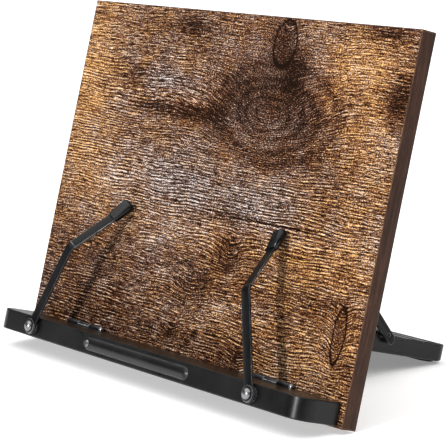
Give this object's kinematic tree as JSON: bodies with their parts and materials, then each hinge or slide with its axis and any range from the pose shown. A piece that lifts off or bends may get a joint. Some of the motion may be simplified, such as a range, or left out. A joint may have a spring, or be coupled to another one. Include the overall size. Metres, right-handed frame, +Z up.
{
  "type": "book stand",
  "caption": "Adjustable book stand: leaning wood-effect board on a hinged ledge with two swinging page arms and a folding propped back foot.",
  "frame": {"origin": "middle of the footprint, on the table", "axes": "+Z up; the board faces -Y and leans back towards +Y; +X to the reader's right"},
  "size_m": [0.34, 0.215, 0.236],
  "materials": {
    "fibreboard": "raw fibreboard",
    "wood_face": "matt rustic wood-effect laminate with a fine embossed grain",
    "edge_band": "matt dark brown edge band",
    "black_paint": "satin black paint on fibreboard",
    "black_plastic": "satin black plastic, finely knurled",
    "black_steel": "satin black powder coat",
    "hinge_steel": "black plated steel, worn bright on its edges",
    "bright_steel": "polished steel",
    "rubber": "smooth glossy black rubber"
  },
  "bodies": {
    "board": {"board_core": "fibreboard", "front_laminate": "wood_face", "back_laminate": "wood_face", "top_edge_band": "edge_band", "bottom_edge_band": "edge_band", "left_edge_band": "edge_band", "right_edge_band": "edge_band", "left_ledge_hinge_board_leaf": "hinge_steel", "right_ledge_hinge_board_leaf": "hinge_steel", "ledge_hinge_pins": "bright_steel", "ledge_hinge_board_screws": "bright_steel", "left_foot_hinge_board_leaf": "hinge_steel", "right_foot_hinge_board_leaf": "hinge_steel", "foot_hinge_pins": "bright_steel", "foot_hinge_board_screws": "bright_steel", "board_pads": "rubber", "left_prop_bracket": "black_steel", "right_prop_bracket": "black_steel", "prop_bracket_screws": "bright_steel", "prop_pivot_pins": "bright_steel"},
    "ledge": {"ledge": "black_paint", "ledge_front_strip": "black_plastic", "ledge_strip_stud": "bright_steel", "left_ledge_hinge_ledge_leaf": "hinge_steel", "right_ledge_hinge_ledge_leaf": "hinge_steel", "ledge_hinge_ledge_screws": "bright_steel", "left_rivet": "bright_steel", "right_rivet": "bright_steel", "arm_spacer_washers": "black_steel", "arm_front_washers": "black_steel"},
    "left_arm": {"left_arm_strip": "black_steel", "left_arm_tip": "rubber"},
    "right_arm": {"right_arm_strip": "black_steel", "right_arm_tip": "rubber"},
    "foot": {"foot_plate": "black_paint", "left_foot_hinge_foot_leaf": "hinge_steel", "right_foot_hinge_foot_leaf": "hinge_steel", "foot_hinge_foot_screws": "bright_steel", "foot_pads": "rubber"},
    "prop": {"left_prop_arm": "black_steel", "right_prop_arm": "black_steel", "prop_rod": "black_steel"}
  },
  "joints": [
    {"name": "ledge_fold", "type": "hinge", "parent": "board", "child": "ledge", "pos_m": [0, -0.07036, 0.01987], "axis": [-1, 0, 0], "range_deg": [0, 0.6]},
    {"name": "left_arm_swing", "type": "hinge", "parent": "ledge", "child": "left_arm", "pos_m": [-0.1205, -0.10265, 0.02026], "axis": [0, -0.9681, 0.2504], "range_deg": [-53, 114]},
    {"name": "right_arm_swing", "type": "hinge", "parent": "ledge", "child": "right_arm", "pos_m": [0.1205, -0.10265, 0.02026], "axis": [0, -0.9681, 0.2504], "range_deg": [-110, 57]},
    {"name": "foot_fold", "type": "hinge", "parent": "board", "child": "foot", "pos_m": [0, -0.04573, 0.05243], "axis": [1, 0, 0], "range_deg": [0, 90]},
    {"name": "prop_swing", "type": "hinge", "parent": "board", "child": "prop", "pos_m": [0, -0.02358, 0.12748], "axis": [1, 0, 0], "range_deg": [0, 129]}
  ],
  "couplings": [
    {"joint": "prop_swing", "follows": "foot_fold", "ratio": 1.43}
  ]
}
